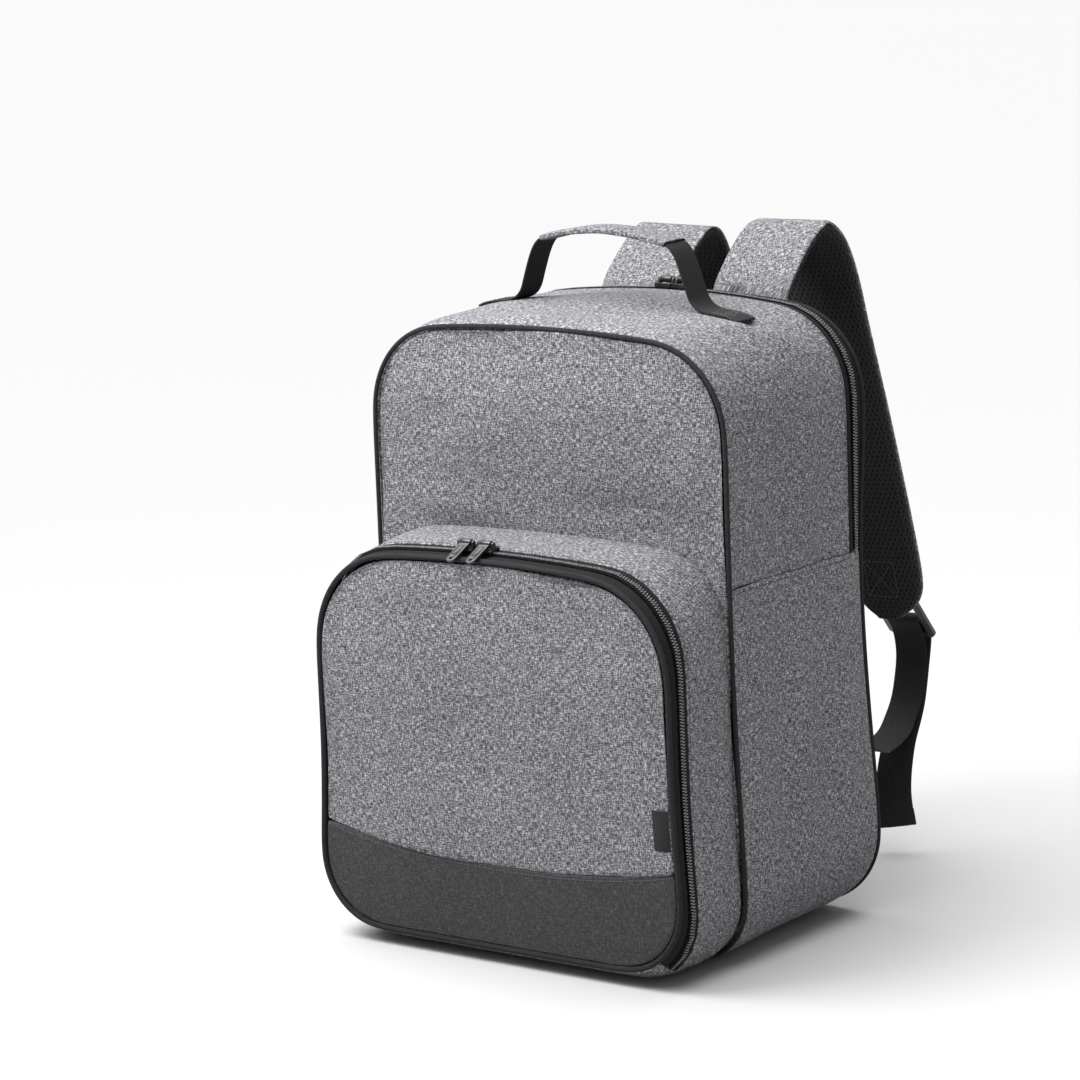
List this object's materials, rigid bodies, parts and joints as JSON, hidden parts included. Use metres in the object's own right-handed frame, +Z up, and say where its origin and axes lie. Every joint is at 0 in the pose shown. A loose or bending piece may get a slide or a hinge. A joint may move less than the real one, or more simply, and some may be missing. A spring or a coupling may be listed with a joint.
{
  "type": "cooler backpack",
  "caption": "Boxy insulated cooler backpack with a zipped main compartment, front pocket, top carry handle and padded adjustable shoulder straps.",
  "frame": {"origin": "on the floor under the middle of the main body", "axes": "+Z up; -Y out of the front with its pocket; +Y out of the back with the shoulder straps; +X to the viewer's right when looking at the front"},
  "size_m": [0.3002, 0.4012, 0.4622],
  "materials": {
    "heather_fabric": "heathered grey woven polyester, matte",
    "dark_fabric": "plain dark grey woven polyester, matte",
    "webbing": "black ribbed webbing",
    "air_mesh": "black open air mesh over foam",
    "zip_tape": "black herringbone zip tape",
    "zip_chain": "black nylon coil, slightly shiny",
    "slider_metal": "black painted zinc, semi-gloss",
    "buckle_plastic": "dark grey moulded plastic, satin"
  },
  "bodies": {
    "bag": {"main_front_panel": "heather_fabric", "main_upper_gusset": "heather_fabric", "main_lower_gusset": "heather_fabric", "main_back_panel": "air_mesh", "main_front_piping": "dark_fabric", "main_back_piping": "dark_fabric", "rear_zip_front_tape": "zip_tape", "rear_zip_rear_tape": "zip_tape", "rear_zip_chain": "zip_chain", "pocket_gusset": "heather_fabric", "pocket_base": "heather_fabric", "pocket_front_panel": "heather_fabric", "pocket_lower_panel": "dark_fabric", "pocket_piping": "dark_fabric", "pocket_zip_front_tape": "zip_tape", "pocket_zip_rear_tape": "zip_tape", "pocket_zip_chain": "zip_chain", "blank_label": "webbing", "pocket_slider_1": "slider_metal", "pocket_slider_2": "slider_metal", "rear_slider_1": "slider_metal", "rear_slider_2": "slider_metal", "handle_webbing": "webbing", "handle_grip": "heather_fabric", "right_strap_cover": "heather_fabric", "right_strap_pad": "air_mesh", "right_lock_tab": "webbing", "right_ladder_lock": "buckle_plastic", "right_adjusting_webbing": "webbing", "right_anchor_patch": "dark_fabric", "left_strap_cover": "heather_fabric", "left_strap_pad": "air_mesh", "left_lock_tab": "webbing", "left_ladder_lock": "buckle_plastic", "left_adjusting_webbing": "webbing", "left_anchor_patch": "dark_fabric"},
    "pocket_pull_1": {"pocket_puller_1": "slider_metal"},
    "pocket_pull_2": {"pocket_puller_2": "slider_metal"},
    "rear_pull_1": {"rear_puller_1": "slider_metal"},
    "rear_pull_2": {"rear_puller_2": "slider_metal"}
  },
  "joints": [
    {"name": "pocket_pull_1_swing", "type": "hinge", "parent": "bag", "child": "pocket_pull_1", "pos_m": [-0.022, -0.13496, 0.27405], "axis": [-1, 0, 0], "range_deg": [0, 175]},
    {"name": "pocket_pull_2_swing", "type": "hinge", "parent": "bag", "child": "pocket_pull_2", "pos_m": [-0.006, -0.13493, 0.27424], "axis": [-1, 0, 0], "range_deg": [0, 175]},
    {"name": "rear_pull_1_swing", "type": "hinge", "parent": "bag", "child": "rear_pull_1", "pos_m": [-0.006, 0.06831, 0.41863], "axis": [1, 0, 0], "range_deg": [0, 175]},
    {"name": "rear_pull_2_swing", "type": "hinge", "parent": "bag", "child": "rear_pull_2", "pos_m": [0.008, 0.06831, 0.41862], "axis": [1, 0, 0], "range_deg": [0, 175]}
  ]
}
